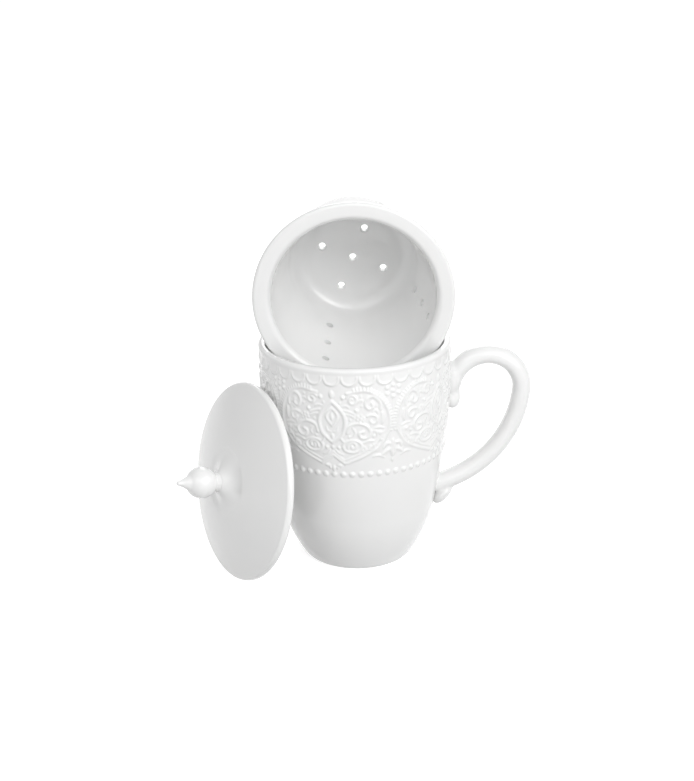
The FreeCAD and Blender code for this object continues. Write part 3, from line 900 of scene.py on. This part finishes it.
def make_knob():
    """A ball on a neck, drawn up into a pointed spire."""
    waist = BALL_LEVEL - math.sqrt(BALL_RADIUS ** 2 - NECK_RADIUS ** 2)
    peak = BALL_LEVEL + math.sqrt(BALL_RADIUS ** 2 - SPIRE_RADIUS ** 2)
    tip = (TIP_ROUND, TIP_LEVEL - TIP_ROUND)
    path = [(0, LID_RISE), (NECK_RADIUS, LID_RISE)]
    path += arc_points((NECK_RADIUS, waist), (BALL_RADIUS, BALL_LEVEL), BALL_RADIUS, -1, BALL_POINTS)
    path += arc_points((BALL_RADIUS, BALL_LEVEL), (SPIRE_RADIUS, peak), BALL_RADIUS, -1, BALL_POINTS)[1:]
    path += arc_points((SPIRE_RADIUS, peak), tip, SPIRE_CURVE, 1, SPIRE_POINTS)[1:]
    path += arc_points(tip, (0, TIP_LEVEL), TIP_ROUND, -1, TIP_POINTS)[1:]
    mesh = turned_mesh(resample(path, KNOB_STEP), KNOB_SIDES)
    mesh.transform(lid_matrix())
    add_piece("lid_knob", mesh, "lid", "knob_glaze")


def glaze_group():
    """Slow unevenness of a poured clear glaze: faint colour drift, waviness and polish."""
    name = "poured_glaze"
    if name in bpy.data.node_groups:
        return bpy.data.node_groups[name]
    group = bpy.data.node_groups.new(name, "ShaderNodeTree")
    group.interface.new_socket("Clay", in_out="INPUT", socket_type="NodeSocketColor")
    group.interface.new_socket("Pooled", in_out="INPUT", socket_type="NodeSocketColor")
    group.interface.new_socket("Polish", in_out="INPUT", socket_type="NodeSocketFloat")
    group.interface.new_socket("Colour", in_out="OUTPUT", socket_type="NodeSocketColor")
    group.interface.new_socket("Roughness", in_out="OUTPUT", socket_type="NodeSocketFloat")
    group.interface.new_socket("Waviness", in_out="OUTPUT", socket_type="NodeSocketFloat")
    nodes, links = group.nodes, group.links
    inputs = nodes.new("NodeGroupInput")
    outputs = nodes.new("NodeGroupOutput")
    place = nodes.new("ShaderNodeTexCoord")
    drift = nodes.new("ShaderNodeTexNoise")
    drift.inputs["Scale"].default_value = DRIFT_SCALE
    drift.inputs["Detail"].default_value = DRIFT_DETAIL
    links.new(place.outputs["Object"], drift.inputs["Vector"])
    mix = nodes.new("ShaderNodeMix")
    mix.data_type = "RGBA"
    share = nodes.new("ShaderNodeMapRange")
    share.inputs["From Min"].default_value = DRIFT_LOW
    share.inputs["From Max"].default_value = DRIFT_HIGH
    share.inputs["To Max"].default_value = GLAZE_POOLED_SHARE
    links.new(drift.outputs["Fac"], share.inputs["Value"])
    links.new(share.outputs["Result"], mix.inputs["Factor"])
    links.new(inputs.outputs["Clay"], mix.inputs["A"])
    links.new(inputs.outputs["Pooled"], mix.inputs["B"])
    links.new(mix.outputs["Result"], outputs.inputs["Colour"])
    fine = nodes.new("ShaderNodeTexNoise")
    fine.inputs["Scale"].default_value = POLISH_SCALE
    fine.inputs["Detail"].default_value = POLISH_DETAIL
    links.new(place.outputs["Object"], fine.inputs["Vector"])
    polish = nodes.new("ShaderNodeMath")
    polish.operation = "MULTIPLY_ADD"
    polish.inputs[1].default_value = GLAZE_POLISH_DRIFT
    links.new(fine.outputs["Fac"], polish.inputs[0])
    links.new(inputs.outputs["Polish"], polish.inputs[2])
    links.new(polish.outputs["Value"], outputs.inputs["Roughness"])
    links.new(drift.outputs["Fac"], outputs.inputs["Waviness"])
    return group


def glazed_porcelain(name):
    """White porcelain under a clear, slightly wavy glaze."""
    material = bpy.data.materials.new(name)
    material.use_nodes = True
    nodes, links = material.node_tree.nodes, material.node_tree.links
    shader = nodes["Principled BSDF"]
    glaze = nodes.new("ShaderNodeGroup")
    glaze.node_tree = glaze_group()
    glaze.inputs["Clay"].default_value = GLAZE_CLAY
    glaze.inputs["Pooled"].default_value = GLAZE_POOLED
    glaze.inputs["Polish"].default_value = GLAZE_POLISH
    links.new(glaze.outputs["Colour"], shader.inputs["Base Color"])
    links.new(glaze.outputs["Roughness"], shader.inputs["Roughness"])
    shader.inputs["IOR"].default_value = GLAZE_IOR
    shader.inputs["Coat Weight"].default_value = GLAZE_COAT
    shader.inputs["Coat Roughness"].default_value = GLAZE_COAT_ROUGHNESS
    bump = nodes.new("ShaderNodeBump")
    bump.inputs["Strength"].default_value = GLAZE_WAVE_STRENGTH
    bump.inputs["Distance"].default_value = GLAZE_WAVE_DEPTH
    links.new(glaze.outputs["Waviness"], bump.inputs["Height"])
    links.new(bump.outputs["Normal"], shader.inputs["Normal"])
    return material


def unglazed_foot():
    """Bare fired clay with a fine grain."""
    material = bpy.data.materials.new("unglazed_foot")
    material.use_nodes = True
    nodes, links = material.node_tree.nodes, material.node_tree.links
    shader = nodes["Principled BSDF"]
    grain = nodes.new("ShaderNodeTexNoise")
    grain.inputs["Scale"].default_value = CLAY_GRAIN
    tone = nodes.new("ShaderNodeValToRGB")
    tone.color_ramp.elements[0].color = CLAY_DARK
    tone.color_ramp.elements[1].color = CLAY_LIGHT
    links.new(grain.outputs["Fac"], tone.inputs["Fac"])
    links.new(tone.outputs["Color"], shader.inputs["Base Color"])
    shader.inputs["Roughness"].default_value = CLAY_ROUGHNESS
    bump = nodes.new("ShaderNodeBump")
    bump.inputs["Distance"].default_value = CLAY_GRAIN_DEPTH
    links.new(grain.outputs["Fac"], bump.inputs["Height"])
    links.new(bump.outputs["Normal"], shader.inputs["Normal"])
    return material


def looked_at(tree):
    """1 where the camera, a reflection or a view through glass looks, and 0 for plain light."""
    path = tree.nodes.new("ShaderNodeLightPath")
    seen = path.outputs["Is Camera Ray"]
    for ray in ("Is Glossy Ray", "Is Transmission Ray"):
        either = tree.nodes.new("ShaderNodeMath")
        either.operation = "MAXIMUM"
        tree.links.new(seen, either.inputs[0])
        tree.links.new(path.outputs[ray], either.inputs[1])
        seen = either.outputs["Value"]
    return seen


def make_world():
    """A room that looks white and gives a plain, even light."""
    world = bpy.data.worlds.new("studio")
    bpy.context.scene.world = world
    world.use_nodes = True
    tree = world.node_tree
    background = tree.nodes["Background"]
    background.inputs["Color"].default_value = (1, 1, 1, 1)
    level = tree.nodes.new("ShaderNodeMapRange")
    level.inputs["To Min"].default_value = ROOM_LIGHT
    level.inputs["To Max"].default_value = 1.0
    tree.links.new(looked_at(tree), level.inputs["Value"])
    tree.links.new(level.outputs["Result"], background.inputs["Strength"])


def make_floor():
    """A white table top that burns out to white in view and keeps the object's soft shadow."""
    mesh = bpy.data.meshes.new("floor")
    corners = [(x * FLOOR_REACH, y * FLOOR_REACH, 0) for x, y in ((-1, -1), (1, -1), (1, 1), (-1, 1))]
    mesh.from_pydata(corners, [], [(0, 1, 2, 3)])
    floor = put_in_scene("floor", mesh)
    floor.location.z = -FLOOR_GAP
    material = bpy.data.materials.new("white_table")
    material.use_nodes = True
    tree = material.node_tree
    shader = tree.nodes["Principled BSDF"]
    shader.inputs["Base Color"].default_value = (FLOOR_TONE, FLOOR_TONE, FLOOR_TONE, 1)
    shader.inputs["Roughness"].default_value = FLOOR_ROUGHNESS
    shader.inputs["Emission Color"].default_value = (1, 1, 1, 1)
    lift = tree.nodes.new("ShaderNodeMath")
    lift.operation = "MULTIPLY"
    lift.inputs[1].default_value = FLOOR_LIFT
    tree.links.new(looked_at(tree), lift.inputs[0])
    tree.links.new(lift.outputs["Value"], shader.inputs["Emission Strength"])
    mesh.materials.append(material)


def make_lights():
    """Square softboxes round the object; the brightest stand in front of it, to its right."""
    for name, place, power in SOFTBOXES:
        light = bpy.data.lights.new(name, "AREA")
        light.shape = "SQUARE"
        light.size = SOFTBOX_SIZE
        light.energy = power
        lamp = put_in_scene(name, light)
        lamp.location = place
        aim = Vector(LIT_POINT) - Vector(place)
        lamp.rotation_euler = aim.to_track_quat("-Z", "Y").to_euler()


def make_camera():
    """Placed as the photograph was taken: a short way above the rim, looking slightly down."""
    rise = math.radians(CAMERA_RISE)
    eye = Vector((0, -CAMERA_DISTANCE * math.cos(rise),
                  CAMERA_DISTANCE * math.sin(rise) + CAMERA_PIVOT_LEVEL))
    forward = (Vector(CAMERA_AIM) - eye).normalized()
    right = forward.cross(Vector((0, 0, 1))).normalized()
    up = right.cross(forward)
    right, up = (right * math.cos(CAMERA_ROLL) + up * math.sin(CAMERA_ROLL),
                 up * math.cos(CAMERA_ROLL) - right * math.sin(CAMERA_ROLL))
    data = bpy.data.cameras.new("camera")
    data.sensor_width = CAMERA_SENSOR
    data.lens = CAMERA_LENS
    camera = put_in_scene("camera", data)
    camera.matrix_world = Matrix((
        (right.x, up.x, -forward.x, eye.x), (right.y, up.y, -forward.y, eye.y),
        (right.z, up.z, -forward.z, eye.z), (0, 0, 0, 1)))
    bpy.context.scene.camera = camera


make_camera()
make_world()
make_floor()
make_lights()
make_mug()
make_handle()
make_basket()
make_lid()
make_knob()
bpy.context.scene.view_settings.view_transform = "Standard"
